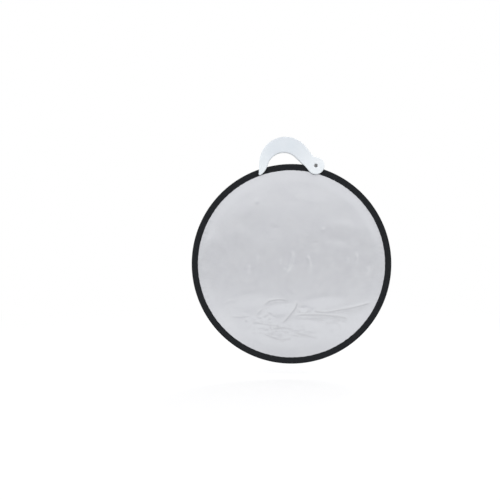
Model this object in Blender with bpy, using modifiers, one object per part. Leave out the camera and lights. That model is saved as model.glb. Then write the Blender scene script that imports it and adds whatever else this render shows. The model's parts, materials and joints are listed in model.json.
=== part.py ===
"""Collapsible reflector disc: a spring hoop sewn into a rim, two cloths and a swinging crescent handle.

Everything is drawn flat, as it would lie on a bench: X to the right, Y up the disc and Z out of the silver
face. The disc_frame empty stands it upright, so its local Z points along world -Y.
"""

import math

import bmesh
import bpy

MM = 0.001

# Disc
RIM_RADIUS = 300 * MM
BAND_WIDTH = 17.8 * MM
RIM_STEPS = 96
GRIP_TO_CENTRE = 314 * MM
CLOTH_RADIUS = 291 * MM
CLOTH_FACE = 0.55 * MM

# Spring hoop and its joint
HOOP_RADIUS = 298 * MM
HOOP_THICK = 1 * MM
HOOP_HALF_WIDTH = 2.5 * MM
HOOP_GAP = 1.2 * MM
FERRULE_LENGTH = 24 * MM
FERRULE_WALL = 0.4 * MM

# Binding tape, as half heights where the hoop fills it and at its open inner edge
TAPE_HALF = 4.3 * MM
TAPE_EDGE_HALF = 1.65 * MM
TAPE_THICK = 0.8 * MM

# Handle: circles are (x, y, radius) from the pivot, and a negative radius is a hollow bend
PIVOT_RADIUS = 303.6 * MM
PIVOT_ANGLE = math.radians(13.84)
HANDLE_CIRCLES = [
    (-167.5 * MM, -24.9 * MM, 4.0 * MM),
    (-193.9 * MM, 13.4 * MM, 50.5 * MM),
    (-95.8 * MM, -9.9 * MM, -49.7 * MM),
    (-95.5 * MM, -66.3 * MM, -90.0 * MM),
    (0.0, 0.0, 26.1 * MM),
    (-3.5 * MM, 31.4 * MM, -5.0 * MM),
    (-91.4 * MM, 8.7 * MM, 78.1 * MM),
]
HANDLE_HALF = 11.5 * MM
CHEEK = 3 * MM
SKIRT = 2.6 * MM
HANDLE_EDGE = 3 * MM
SEAT_GAP = 0.6 * MM
BOSS_CLEAR = 30 * MM

# Pivot stack, as heights above the middle of the rim
SADDLE_TOP = 5.8 * MM
WASHER_THICK = 0.5 * MM
PAD_FACE = 6.9 * MM
PAD_RADIUS = 10 * MM
WASHER_RADIUS = 9 * MM
SLEEVE_RADIUS = 3.2 * MM
SHANK_RADIUS = 2.4 * MM
HEAD_SEAT = 8.5 * MM
HEAD_RADIUS = 5 * MM
HEAD_HEIGHT = 2.5 * MM
COUNTERBORE_RADIUS = 8 * MM
NUT_ACROSS_FLATS = 8 * MM
PIVOT_RECESS = (2.2 * MM, 8 * MM, 1.5 * MM)

# Saddle, in its own frame: Y along the disc's radius, 0 at the pivot
SADDLE_CIRCLES = [
    (-8.5 * MM, -15 * MM, 4 * MM),
    (8.5 * MM, -15 * MM, 4 * MM),
    (4 * MM, 2 * MM, 6 * MM),
    (-4 * MM, 2 * MM, 6 * MM),
]
RIVET_RADIUS = 1.5 * MM
RIVET_HEAD_RADIUS = 2.7 * MM
RIVET_HEAD_HEIGHT = 0.8 * MM
RIVET_SPOTS = {"left": (-8 * MM, -14.2 * MM), "right": (8 * MM, -14.2 * MM)}

# Fastenings of the two handle shells, on the middle line of the arch
ARCH_CENTRE = (-93.6 * MM, -0.6 * MM)
ARCH_MIDDLE = 64 * MM
SHELL_SCREW_ANGLES = (22, 90, 168)
POST_RADIUS = 4.6 * MM
SHELL_HEAD_RADIUS = 2.8 * MM
SHELL_HEAD_HEIGHT = 1.8 * MM
SHELL_SHANK_RADIUS = 1.4 * MM
SHELL_SCREW_DEPTH = 6 * MM
SHELL_RECESS = (0.9 * MM, 3 * MM, 1 * MM)

# Rubber pads in the tip
TIP_PAD_CIRCLES = [
    (-166.5 * MM, -22 * MM, 2.5 * MM),
    (-159.5 * MM, -14.5 * MM, 4 * MM),
    (-165.5 * MM, -14.5 * MM, 3.5 * MM),
]
TIP_PAD_BACK = 8.2 * MM

GAP = 0.3 * MM
BURY = 0.5 * MM
THROUGH = 20 * MM
PARTING_SIDE = 400 * MM
PARTING_HEIGHT = 100 * MM
CURVE_SAG = 0.25 * MM
ROUND = 28
SMOOTH_ANGLE = math.radians(40)

OBJECT = "collapsible_reflector_disc"


def new_collection(name):
    collection = bpy.data.collections.new(name)
    bpy.context.scene.collection.children.link(collection)
    return collection


for leftover in list(bpy.data.objects):
    bpy.data.objects.remove(leftover)
PARTS = new_collection(OBJECT)
CUTTERS = new_collection("cutters")


def finish(name, colour, roughness, metallic=0.0):
    """Principled material with one colour."""
    material = bpy.data.materials.new(name)
    material.use_nodes = True
    shader = material.node_tree.nodes["Principled BSDF"]
    shader.inputs["Base Color"].default_value = (*colour, 1)
    shader.inputs["Roughness"].default_value = roughness
    shader.inputs["Metallic"].default_value = metallic
    return material


SILVER_CLOTH = finish("silver_cloth", (0.62, 0.62, 0.65), 0.45, 0.3)
WHITE_CLOTH = finish("white_cloth", (0.87, 0.9, 0.93), 0.7)
BLACK_TAPE = finish("black_tape", (0.02, 0.022, 0.026), 0.85)
SPRING_STEEL = finish("spring_steel", (0.5, 0.51, 0.53), 0.35, 1.0)
FERRULE_METAL = finish("ferrule_metal", (0.6, 0.6, 0.58), 0.4, 1.0)
SADDLE_PLASTIC = finish("saddle_plastic", (0.05, 0.05, 0.055), 0.5)
RIVET_STEEL = finish("rivet_steel", (0.55, 0.55, 0.56), 0.35, 1.0)
WHITE_PLASTIC = finish("white_plastic", (0.83, 0.85, 0.88), 0.35)
BRIGHT_STEEL = finish("bright_steel", (0.7, 0.7, 0.72), 0.15, 1.0)
SLEEVE_BRASS = finish("sleeve_brass", (0.7, 0.55, 0.25), 0.3, 1.0)
WASHER_NYLON = finish("washer_nylon", (0.8, 0.8, 0.78), 0.5)
PAD_RUBBER = finish("pad_rubber", (0.03, 0.03, 0.03), 0.9)


def empty(name, parent=None, place=(0, 0, 0), turn=(0, 0, 0)):
    frame = bpy.data.objects.new(name, None)
    PARTS.objects.link(frame)
    frame.parent = parent
    frame.location = place
    frame.rotation_euler = turn
    return frame


PIVOT_X = PIVOT_RADIUS * math.sin(PIVOT_ANGLE)
PIVOT_Y = PIVOT_RADIUS * math.cos(PIVOT_ANGLE)
DISC = empty("disc_frame", place=(0, 0, -GRIP_TO_CENTRE), turn=(math.pi / 2, 0, 0))
SADDLE = empty("saddle_frame", DISC, (PIVOT_X, PIVOT_Y, 0), (0, 0, -PIVOT_ANGLE))
HANDLE = empty("handle_pivot", DISC, (PIVOT_X, PIVOT_Y, 0))


def add(name, mesh, parent, material=None):
    """Object in the parts, or in the cutters when it has no material."""
    thing = bpy.data.objects.new(name, mesh)
    thing.parent = parent
    if material is None:
        CUTTERS.objects.link(thing)
        thing.hide_render = True
        thing.display_type = "WIRE"
    else:
        PARTS.objects.link(thing)
        mesh.materials.append(material)
        mesh.shade_smooth()
        mesh.set_sharp_from_angle(angle=SMOOTH_ANGLE)
    return thing


def combine(target, other, operation="DIFFERENCE"):
    boolean = target.modifiers.new(f"{operation.lower()} {other.name}", "BOOLEAN")
    boolean.object = other
    boolean.operation = operation


def turned(name, profile, parent, material=None, ring=False, steps=ROUND):
    """(radius, height) points swept round Z; they run down the outer side, and a ring's profile closes."""
    mesh = bpy.data.meshes.new(name)
    edges = [(i, i + 1) for i in range(len(profile) - 1)]
    if ring:
        edges.append((len(profile) - 1, 0))
    mesh.from_pydata([(radius, 0, height) for radius, height in profile], edges, [])
    thing = add(name, mesh, parent, material)
    screw = thing.modifiers.new("turn", "SCREW")
    screw.steps = steps
    screw.render_steps = steps
    screw.use_merge_vertices = True
    screw.merge_threshold = 0.00001
    return thing


def belt(circles, inset=0.0):
    """Outline of a band stretched round circles in turn, anticlockwise; inset draws it in."""
    rounds = [(x, y, radius - inset) for x, y, radius in circles]
    headings = []
    for (x, y, radius), (next_x, next_y, next_radius) in zip(rounds, rounds[1:] + rounds[:1]):
        span = math.hypot(next_x - x, next_y - y)
        lean = math.asin((next_radius - radius) / span)
        headings.append(math.atan2(next_y - y, next_x - x) - lean)
    outline = []
    for i, (x, y, radius) in enumerate(rounds):
        turn = (headings[i] - headings[i - 1]) % (2 * math.pi)
        if radius < 0:
            turn -= 2 * math.pi
        largest_step = 2 * math.acos(1 - CURVE_SAG / abs(radius))
        count = max(1, math.ceil(abs(turn) / largest_step))
        for j in range(count + 1):
            heading = headings[i - 1] + turn * j / count
            outline.append((x + radius * math.sin(heading), y - radius * math.cos(heading)))
    return outline


def slab(name, outline, low, high, parent, material=None, edge=0.0):
    """Flat outline made solid between two heights, its edges rounded."""
    curve = bpy.data.curves.new(name, "CURVE")
    curve.dimensions = "2D"
    curve.fill_mode = "BOTH"
    curve.extrude = (high - low) / 2 - edge
    curve.bevel_depth = edge
    curve.bevel_resolution = 1
    curve.offset = -edge
    spline = curve.splines.new("POLY")
    spline.points.add(len(outline) - 1)
    for point, (x, y) in zip(spline.points, outline):
        point.co = (x, y, 0, 1)
    spline.use_cyclic_u = True
    drawn = bpy.data.objects.new(name, curve)
    CUTTERS.objects.link(drawn)
    bpy.context.view_layer.update()
    graph = bpy.context.evaluated_depsgraph_get()
    mesh = bpy.data.meshes.new_from_object(drawn.evaluated_get(graph))
    bpy.data.objects.remove(drawn)
    shape = bmesh.new()
    shape.from_mesh(mesh)
    bmesh.ops.remove_doubles(shape, verts=shape.verts, dist=0.00001)
    bmesh.ops.recalc_face_normals(shape, faces=shape.faces)
    bmesh.ops.translate(shape, verts=shape.verts, vec=(0, 0, (low + high) / 2))
    shape.to_mesh(mesh)
    shape.free()
    mesh.materials.clear()
    return add(name, mesh, parent, material)


def cylinder(name, radius, low, high, parent, material=None, place=(0, 0), sides=ROUND):
    mesh = bpy.data.meshes.new(name)
    shape = bmesh.new()
    bmesh.ops.create_cone(
        shape, cap_ends=True, segments=sides, radius1=radius, radius2=radius, depth=high - low
    )
    bmesh.ops.translate(shape, verts=shape.verts, vec=(*place, (low + high) / 2))
    shape.to_mesh(mesh)
    shape.free()
    return add(name, mesh, parent, material)


def box(name, size, centre, parent):
    """Cutter with straight sides."""
    mesh = bpy.data.meshes.new(name)
    shape = bmesh.new()
    bmesh.ops.create_cube(shape, size=1)
    bmesh.ops.scale(shape, verts=shape.verts, vec=size)
    bmesh.ops.translate(shape, verts=shape.verts, vec=centre)
    shape.to_mesh(mesh)
    shape.free()
    return add(name, mesh, parent)


def hoop_profile(grow):
    """Section of the spring strip, grown on every side."""
    outer = HOOP_RADIUS + grow
    inner = HOOP_RADIUS - HOOP_THICK - grow
    half = HOOP_HALF_WIDTH + grow
    return [(outer, half), (outer, -half), (inner, -half), (inner, half)]


def make_hoop():
    hoop = turned("spring_hoop", hoop_profile(0), DISC, SPRING_STEEL, ring=True, steps=RIM_STEPS)
    middle = (0, -HOOP_RADIUS, 0)
    gap = box("hoop_gap", (HOOP_GAP, THROUGH, THROUGH), middle, DISC)
    combine(hoop, gap)
    ferrule = turned(
        "hoop_ferrule", hoop_profile(GAP + FERRULE_WALL), DISC, FERRULE_METAL, ring=True, steps=RIM_STEPS
    )
    ends = box("ferrule_ends", (FERRULE_LENGTH, THROUGH, THROUGH), middle, DISC)
    combine(ferrule, ends, "INTERSECT")
    passage = turned("ferrule_passage", hoop_profile(GAP), DISC, ring=True, steps=RIM_STEPS)
    combine(ferrule, passage)


def tape_outside(grow, inner):
    """Front half of the tape's outer section, from its inner edge out to the rim."""
    return [
        (inner, TAPE_EDGE_HALF + grow),
        (RIM_RADIUS - BAND_WIDTH, TAPE_EDGE_HALF + grow),
        (RIM_RADIUS - 4.5 * MM, TAPE_HALF + grow),
        (RIM_RADIUS - 0.6 * MM + grow, TAPE_HALF - 0.3 * MM + grow),
        (RIM_RADIUS + grow, TAPE_HALF - 1.3 * MM + grow),
    ]


def mirrored(half):
    return half + [(radius, -height) for radius, height in reversed(half)]


def make_binding():
    outside = mirrored(tape_outside(0, 0)[1:])
    wall = RIM_RADIUS - TAPE_THICK
    inside = [
        (RIM_RADIUS - BAND_WIDTH, TAPE_EDGE_HALF - TAPE_THICK),
        (RIM_RADIUS - 4.8 * MM, TAPE_HALF - TAPE_THICK),
        (wall, TAPE_HALF - TAPE_THICK),
    ]
    profile = outside + mirrored(inside)[::-1]
    return turned("rim_binding", profile, DISC, BLACK_TAPE, ring=True, steps=RIM_STEPS)


def make_cloths():
    half_gap = GAP / 2
    silver = cylinder(
        "silver_fabric", CLOTH_RADIUS, half_gap, CLOTH_FACE, DISC, SILVER_CLOTH, sides=RIM_STEPS
    )
    white = cylinder(
        "white_fabric", CLOTH_RADIUS, -CLOTH_FACE, -half_gap, DISC, WHITE_CLOTH, sides=RIM_STEPS
    )
    return silver, white


def make_saddle():
    """Two clamp halves over the rim; outside the rim they meet round the pivot sleeve."""
    deep = RIM_RADIUS - 2 * BAND_WIDTH
    envelope = turned(
        "rim_envelope", mirrored(tape_outside(GAP, deep)), DISC, ring=True, steps=RIM_STEPS
    )
    bore = cylinder("saddle_bore", SLEEVE_RADIUS + GAP, -THROUGH, THROUGH, SADDLE)
    outline = belt(SADDLE_CIRCLES)
    halves = [
        slab("saddle_front", outline, GAP / 2, SADDLE_TOP, SADDLE, SADDLE_PLASTIC),
        slab("saddle_back", outline, -SADDLE_TOP, -GAP / 2, SADDLE, SADDLE_PLASTIC),
    ]
    for half in halves:
        combine(half, envelope)
        combine(half, bore)
    return halves


def make_rivets(pierced):
    """Tubular rivets that hold the saddle to the binding and the cloths, just inside the hoop."""
    head_foot = SADDLE_TOP + GAP
    head_top = head_foot + RIVET_HEAD_HEIGHT
    half = [
        (0, head_top),
        (RIVET_HEAD_RADIUS - 0.7 * MM, head_top),
        (RIVET_HEAD_RADIUS, head_foot + 0.3 * MM),
        (RIVET_HEAD_RADIUS, head_foot),
        (RIVET_RADIUS, head_foot),
    ]
    profile = mirrored(half)
    for side, spot in RIVET_SPOTS.items():
        rivet = turned(f"saddle_rivet_{side}", profile, SADDLE, RIVET_STEEL, steps=16)
        rivet.location = (*spot, 0)
        hole = cylinder(
            f"rivet_hole_{side}", RIVET_RADIUS + GAP, -THROUGH, THROUGH, SADDLE, place=spot, sides=16
        )
        for piece in pierced:
            combine(piece, hole)


def shell_screw_spots():
    spots = []
    for degrees in SHELL_SCREW_ANGLES:
        angle = math.radians(degrees)
        x = ARCH_CENTRE[0] + ARCH_MIDDLE * math.cos(angle)
        y = ARCH_CENTRE[1] + ARCH_MIDDLE * math.sin(angle)
        spots.append((x, y))
    return spots


def make_shells():
    """Front and back mouldings: one rounded blank halved at the rim's middle plane and hollowed."""
    outline = belt(HANDLE_CIRCLES)
    inside = HANDLE_HALF - CHEEK
    seat = RIM_RADIUS + SEAT_GAP
    cavity = slab("handle_cavity", belt(HANDLE_CIRCLES, SKIRT), -inside, inside, HANDLE)
    deep = 2 * inside
    combine(cavity, cylinder("seat_rib", seat + SKIRT, -deep, deep, DISC, sides=RIM_STEPS))
    combine(cavity, cylinder("boss_rib", BOSS_CLEAR + SKIRT, -deep, deep, HANDLE))
    slot = cylinder("rim_slot", seat, -inside, inside, DISC, sides=RIM_STEPS)
    boss_room = cylinder("boss_room", BOSS_CLEAR, -inside, inside, HANDLE)
    shells = []
    for side, sign in (("front", 1), ("back", -1)):
        shell = slab(
            f"handle_{side}_shell", outline, -HANDLE_HALF, HANDLE_HALF, HANDLE, WHITE_PLASTIC, HANDLE_EDGE
        )
        other_side = (ARCH_CENTRE[0], 0, -sign * (PARTING_HEIGHT - GAP) / 2)
        size = (PARTING_SIDE, PARTING_SIDE, PARTING_HEIGHT)
        combine(shell, box(f"{side}_parting", size, other_side, HANDLE))
        for cutter in (cavity, slot, boss_room):
            combine(shell, cutter)
        low, high = sorted((sign * PAD_FACE, sign * (inside + BURY)))
        combine(shell, cylinder(f"{side}_pivot_pad", PAD_RADIUS, low, high, HANDLE), "UNION")
        shells.append(shell)
    return shells


def make_shell_screws(front, back):
    """Three screws driven from the back into posts on the front shell."""
    seat = -HEAD_SEAT
    foot = seat - GAP
    head_top = foot - SHELL_HEAD_HEIGHT
    inside = HANDLE_HALF - CHEEK + BURY
    profile = [
        (0, SHELL_SCREW_DEPTH),
        (SHELL_SHANK_RADIUS / 2, SHELL_SCREW_DEPTH),
        (SHELL_SHANK_RADIUS, SHELL_SCREW_DEPTH - 2 * MM),
        (SHELL_SHANK_RADIUS, foot),
        (SHELL_HEAD_RADIUS, foot),
        (SHELL_HEAD_RADIUS, head_top + 0.6 * MM),
        (SHELL_HEAD_RADIUS - 0.8 * MM, head_top),
        (0, head_top),
    ]
    for number, spot in enumerate(shell_screw_spots(), 1):
        ends = {front: (GAP / 2, inside), back: (-inside, -GAP / 2)}
        for shell, (low, high) in ends.items():
            name = f"{shell.name}_post_{number}"
            post = cylinder(name, POST_RADIUS, low, high, HANDLE, place=spot, sides=20)
            combine(shell, post, "UNION")
        clear = SHELL_SHANK_RADIUS + GAP
        pilot = cylinder(
            f"pilot_{number}", clear, -THROUGH, SHELL_SCREW_DEPTH + GAP, HANDLE, place=spot, sides=16
        )
        combine(front, pilot)
        combine(back, pilot)
        sunk = cylinder(
            f"sunk_{number}", SHELL_HEAD_RADIUS + GAP, -THROUGH, seat, HANDLE, place=spot, sides=20
        )
        combine(back, sunk)
        screw = turned(f"shell_screw_{number}", profile, HANDLE, BRIGHT_STEEL, steps=16)
        screw.location = (*spot, 0)
        cross_recess(screw, f"shell_screw_{number}", (*spot, head_top), SHELL_RECESS, 0)


def cross_recess(screw, name, place, size, turn):
    """Cross cut into a screw head's face; size is the width, length and depth of an arm."""
    wide, long, deep = size
    for part, sides in (("upright", (wide, long, 2 * deep)), ("level", (long, wide, 2 * deep))):
        blade = box(f"{name}_{part}", sides, (0, 0, 0), HANDLE)
        blade.location = place
        blade.rotation_euler = (0, 0, turn)
        combine(screw, blade)


def make_pivot(front, back):
    clear = SHANK_RADIUS + GAP
    through = cylinder("pivot_hole", clear, -THROUGH, THROUGH, HANDLE)
    combine(front, through)
    combine(back, through)
    combine(front, cylinder("head_counterbore", COUNTERBORE_RADIUS, HEAD_SEAT, THROUGH, HANDLE))

    nut_radius = NUT_ACROSS_FLATS / math.sqrt(3)
    pocket_radius = (NUT_ACROSS_FLATS + 2 * GAP) / math.sqrt(3)
    combine(back, cylinder("nut_pocket", pocket_radius, -THROUGH, -HEAD_SEAT, HANDLE, sides=6))
    nut_inner = -HEAD_SEAT - GAP
    nut = cylinder(
        "pivot_nut", nut_radius, nut_inner - HEAD_HEIGHT, nut_inner, HANDLE, BRIGHT_STEEL, sides=6
    )
    combine(nut, through)

    foot = HEAD_SEAT + GAP
    top = foot + HEAD_HEIGHT
    tail = nut_inner - HEAD_HEIGHT
    profile = [
        (0, top),
        (0.55 * HEAD_RADIUS, top),
        (0.9 * HEAD_RADIUS, top - 0.7 * MM),
        (HEAD_RADIUS, top - 1.6 * MM),
        (HEAD_RADIUS, foot),
        (SHANK_RADIUS, foot),
        (SHANK_RADIUS, tail + 0.4 * MM),
        (SHANK_RADIUS - 0.4 * MM, tail),
        (0, tail),
    ]
    screw = turned("pivot_screw", profile, HANDLE, BRIGHT_STEEL)
    cross_recess(screw, "pivot_screw", (0, 0, top), PIVOT_RECESS, math.radians(45))

    sleeve_end = PAD_FACE - GAP
    half = [(clear, sleeve_end), (SLEEVE_RADIUS, sleeve_end)]
    turned("pivot_sleeve", mirrored(half), HANDLE, SLEEVE_BRASS, ring=True)

    washer_low = SADDLE_TOP + GAP
    washer_high = washer_low + WASHER_THICK
    bore = SLEEVE_RADIUS + GAP
    for side, low, high in (("front", washer_low, washer_high), ("back", -washer_high, -washer_low)):
        washer = [(WASHER_RADIUS, high), (WASHER_RADIUS, low), (bore, low), (bore, high)]
        turned(f"friction_washer_{side}", washer, HANDLE, WASHER_NYLON, ring=True)


def make_tip_pads():
    outline = belt(TIP_PAD_CIRCLES)
    near = TAPE_HALF + GAP
    slab("tip_pad_front", outline, near, TIP_PAD_BACK, HANDLE, PAD_RUBBER)
    slab("tip_pad_back", outline, -TIP_PAD_BACK, -near, HANDLE, PAD_RUBBER)


make_hoop()
binding = make_binding()
cloths = make_cloths()
saddles = make_saddle()
make_rivets([binding, *cloths, *saddles])
front_shell, back_shell = make_shells()
make_shell_screws(front_shell, back_shell)
make_pivot(front_shell, back_shell)
make_tip_pads()
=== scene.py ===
# %% [markdown]
# # A collapsible reflector disc
#
# A studio reflector is two round cloths, one silver and one white, held tight by a spring hoop that
# is sewn into a black tape at the rim. A white crescent handle swings on one screw at the rim, and its tip
# clips over the rim on the other side.
#
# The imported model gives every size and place. This lesson hides the plain solids that show and makes finer
# pieces where they stood, and it gives every other solid a finish of its own.

# %% Load the frame
import math

import bmesh
import bpy
import numpy as np
from mathutils import Matrix, Vector
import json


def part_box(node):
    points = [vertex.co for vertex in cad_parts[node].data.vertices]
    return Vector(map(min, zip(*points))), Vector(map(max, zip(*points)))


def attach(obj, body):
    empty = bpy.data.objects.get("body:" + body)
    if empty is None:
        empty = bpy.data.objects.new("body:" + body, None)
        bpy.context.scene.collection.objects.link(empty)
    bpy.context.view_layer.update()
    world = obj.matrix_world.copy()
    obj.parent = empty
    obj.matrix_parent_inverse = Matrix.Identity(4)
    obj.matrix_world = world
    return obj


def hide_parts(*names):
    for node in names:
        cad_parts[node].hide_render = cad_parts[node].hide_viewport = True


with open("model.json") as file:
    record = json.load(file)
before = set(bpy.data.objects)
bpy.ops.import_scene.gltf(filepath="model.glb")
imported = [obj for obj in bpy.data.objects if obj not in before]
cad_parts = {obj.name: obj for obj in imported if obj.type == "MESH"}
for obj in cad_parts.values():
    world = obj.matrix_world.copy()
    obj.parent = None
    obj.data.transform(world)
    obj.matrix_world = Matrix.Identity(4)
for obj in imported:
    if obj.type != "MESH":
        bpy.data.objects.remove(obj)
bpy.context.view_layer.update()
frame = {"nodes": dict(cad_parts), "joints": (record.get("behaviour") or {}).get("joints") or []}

MM = 0.001

# %% [markdown]
# ## Places and sizes
#
# It is easier to draw a flat thing flat. Pieces are drawn on a bench, with X to the right, Y up the disc
# and Z out of the silver face, and one matrix then stands each mesh upright. The centre and radius of the
# disc come from the rim's box, and the pivot comes from the joint.

# %% Bench and disc
rim_low, rim_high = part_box("rim_binding")
DISC_CENTRE = (rim_low + rim_high) / 2
RIM_RADIUS = (rim_high.x - rim_low.x) / 2
BAND_WIDTH = 17.8 * MM
CLOTH_FACE = 0.55 * MM
STAND_UP = Matrix.Translation(DISC_CENTRE) @ Matrix.Rotation(math.radians(90), 4, "X")

swing = frame["joints"][0]
PIVOT = Vector(swing["pos_m"]) - DISC_CENTRE
PIVOT_X, PIVOT_Y = PIVOT.x, PIVOT.z
HANDLE_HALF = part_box("handle_back_shell")[1].y
print(f"disc {2000 * RIM_RADIUS:.0f} mm across, pivot {1000 * PIVOT_X:.1f} mm right of its centre")

# %% [markdown]
# ## Camera, floor and light
#
# A long lens looks straight at the silver face, a little below and left of the object's middle. The studio
# is plain: a pale floor, a large soft light above and in front, and an even white surround. A satin cloth
# shows whatever lies in front of it, so the surround is a little darker round the camera's own height. That
# gives the cloth its quiet grey belt with brighter cloth above and below.

# %% Object helpers
def link(name, data):
    """A new object in the scene that shows this data."""
    thing = bpy.data.objects.new(name, data)
    bpy.context.scene.collection.objects.link(thing)
    return thing


def remove(*things):
    for thing in things:
        bpy.data.objects.remove(thing)


def baked(thing):
    """A plain mesh of an object, as its modifiers leave it."""
    bpy.context.view_layer.update()
    return bpy.data.meshes.new_from_object(thing.evaluated_get(bpy.context.evaluated_depsgraph_get()))


# %% Camera
CAMERA_SIDE = -125 * MM
CAMERA_RISE = 41.6 * MM
CAMERA_DISTANCE = 2.4
FRAME_WIDTH = 1.506

lens = bpy.data.cameras.new("camera")
lens.sensor_width = 36
lens.lens = lens.sensor_width * CAMERA_DISTANCE / FRAME_WIDTH
camera = link("camera", lens)
camera.location = DISC_CENTRE + Vector((CAMERA_SIDE, -CAMERA_DISTANCE, CAMERA_RISE))
camera.rotation_euler = (math.radians(90), 0, 0)
bpy.context.scene.camera = camera
bpy.context.scene.view_settings.view_transform = "Standard"


# %% Node helpers
def new_material(name):
    """A material, its node tree and its Principled shader."""
    material = bpy.data.materials.new(name)
    material.use_nodes = True
    return material, material.node_tree, material.node_tree.nodes["Principled BSDF"]


def set_input(tree, socket, value):
    """Links another node's output to a socket, or gives it a plain value."""
    if isinstance(value, bpy.types.NodeSocket):
        tree.links.new(value, socket)
    else:
        socket.default_value = value


def set_inputs(tree, node, **inputs):
    for key, value in inputs.items():
        set_input(tree, node.inputs[key.replace("_", " ")], value)


def add_node(tree, kind, inputs=(), **settings):
    """Adds a node, sets its settings, and sets or links its inputs."""
    node = tree.nodes.new(kind)
    for key, value in settings.items():
        setattr(node, key, value)
    for key, value in dict(inputs).items():
        set_input(tree, node.inputs[key], value)
    return node


def maths(tree, operation, *values):
    """The result of a Math node."""
    return add_node(tree, "ShaderNodeMath", enumerate(values), operation=operation).outputs[0]


def smooth_range(tree, value, low, high, start=0.0, end=1.0):
    """Runs smoothly from start to end as the value goes from low to high."""
    inputs = {"Value": value, "From Min": low, "From Max": high, "To Min": start, "To Max": end}
    return add_node(tree, "ShaderNodeMapRange", inputs, interpolation_type="SMOOTHSTEP").outputs["Result"]


def object_place(tree):
    return add_node(tree, "ShaderNodeTexCoord").outputs["Object"]


def camera_ray(tree):
    return add_node(tree, "ShaderNodeLightPath").outputs["Is Camera Ray"]


def grey_ramp(tree, factor, tones):
    """Greys along a ramp: tones are (place, brightness), with brightness allowed over 1."""
    ramp = add_node(tree, "ShaderNodeValToRGB", {"Fac": factor})
    elements = ramp.color_ramp.elements
    elements[0].position = tones[0][0]
    elements[1].position = tones[-1][0]
    for place, _ in tones[1:-1]:
        elements.new(place)
    for element, (_, grey) in zip(elements, tones):
        element.color = (grey, grey, grey, 1)
    return ramp.outputs["Color"]


# %% Floor
FLOOR_CLEAR = 40 * MM
FLOOR_SIDE = 60.0
FLOOR_FADE = (0.3, 2.6)
FLOOR_REACH = 16.0
# (share of the reach, brightness) of the floor's glow for all but camera rays: a painted shadow near the disc,
# brighter further out
FLOOR_GLOW_AND_SHADOW_TONES = [
    (0.0, 0.72), (0.02, 0.8), (0.045, 0.93), (0.08, 1.0), (0.115, 0.98),
    (0.165, 0.89), (0.25, 0.78), (0.4, 0.64), (0.6, 0.6),
]

bpy.ops.mesh.primitive_plane_add(size=FLOOR_SIDE, location=(0, 0, rim_low.z - FLOOR_CLEAR))
floor = bpy.context.object
floor.name = "studio_floor"
floor_paint, tree, shader = new_material("studio_floor_paint")
set_inputs(tree, shader, Base_Color=(0.9, 0.9, 0.91, 1), Roughness=0.8)
distance = add_node(tree, "ShaderNodeVectorMath", {0: object_place(tree)}, operation="LENGTH").outputs["Value"]
# Seen by the camera, the floor glows white, and the glow also lightens the shadow near the disc.
far = smooth_range(tree, distance, *FLOOR_FADE, start=0.6)
glow = add_node(tree, "ShaderNodeEmission", {"Color": (1, 1, 1, 1), "Strength": 1.0})
looked_at = add_node(tree, "ShaderNodeMixShader", {0: far, 1: shader.outputs[0], 2: glow.outputs[0]})
# Other rays see the floor glow by the tones above: a painted shadow near the disc and painted light further
# out.
grey = grey_ramp(tree, maths(tree, "DIVIDE", distance, FLOOR_REACH), FLOOR_GLOW_AND_SHADOW_TONES)
painted_floor_glow = add_node(tree, "ShaderNodeEmission", {"Color": grey, "Strength": 1.0})
shown = {0: camera_ray(tree), 1: painted_floor_glow.outputs[0], 2: looked_at.outputs[0]}
blend = add_node(tree, "ShaderNodeMixShader", shown)
tree.links.new(blend.outputs[0], tree.nodes["Material Output"].inputs["Surface"])
floor.data.materials.append(floor_paint)

# %% Surround
# (height of the direction, brightness); the first height is straight out and the last straight up.
SURROUND_TONES = [(0.0, 0.58), (0.028, 0.6), (0.07, 0.98), (0.2, 0.97), (0.3, 0.66), (0.9, 0.62)]
SIDE_SPAN = (0.2, 0.34)
SIDE_GLOW = 0.3

world = bpy.data.worlds.new("white_surround")
world.use_nodes = True
bpy.context.scene.world = world
tree = world.node_tree
direction = add_node(tree, "ShaderNodeTexCoord").outputs["Generated"]
parts = add_node(tree, "ShaderNodeSeparateXYZ", {0: direction}).outputs
above = grey_ramp(tree, parts["Z"], SURROUND_TONES)
beside = smooth_range(tree, maths(tree, "ABSOLUTE", parts["X"]), *SIDE_SPAN, end=SIDE_GLOW)
surround = maths(tree, "ADD", above, beside)
strength = add_node(tree, "ShaderNodeMix", {"Factor": camera_ray(tree), "A": surround, "B": 1.0})
set_inputs(tree, tree.nodes["Background"], Color=(1, 1, 1, 1), Strength=strength.outputs["Result"])


# %% Soft lights
def soft_light(name, place, size, power):
    """A square area light that faces the disc."""
    data = bpy.data.lights.new(name, "AREA")
    data.shape = "SQUARE"
    data.size = size
    data.energy = power
    light = link(name, data)
    light.location = place
    light.rotation_mode = "QUATERNION"
    light.rotation_quaternion = (DISC_CENTRE - light.location).to_track_quat("-Z", "Y")


soft_light("front_softbox", (-1.4, -2.4, 1.6), 1.6, 38)
soft_light("side_softbox", (2.2, -1.2, 0.6), 1.4, 10)
soft_light("back_softbox", (0.8, 2.4, 1.4), 1.6, 34)

# %% [markdown]
# ## Shared surface effects
#
# Three effects come back in several finishes, so each is a node group with named inputs: a plain weave, a
# slow mottle that breaks up a flat colour, and fine scratches for metal. A group puts out only masks and
# heights, and each material decides what to do with them.


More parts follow.
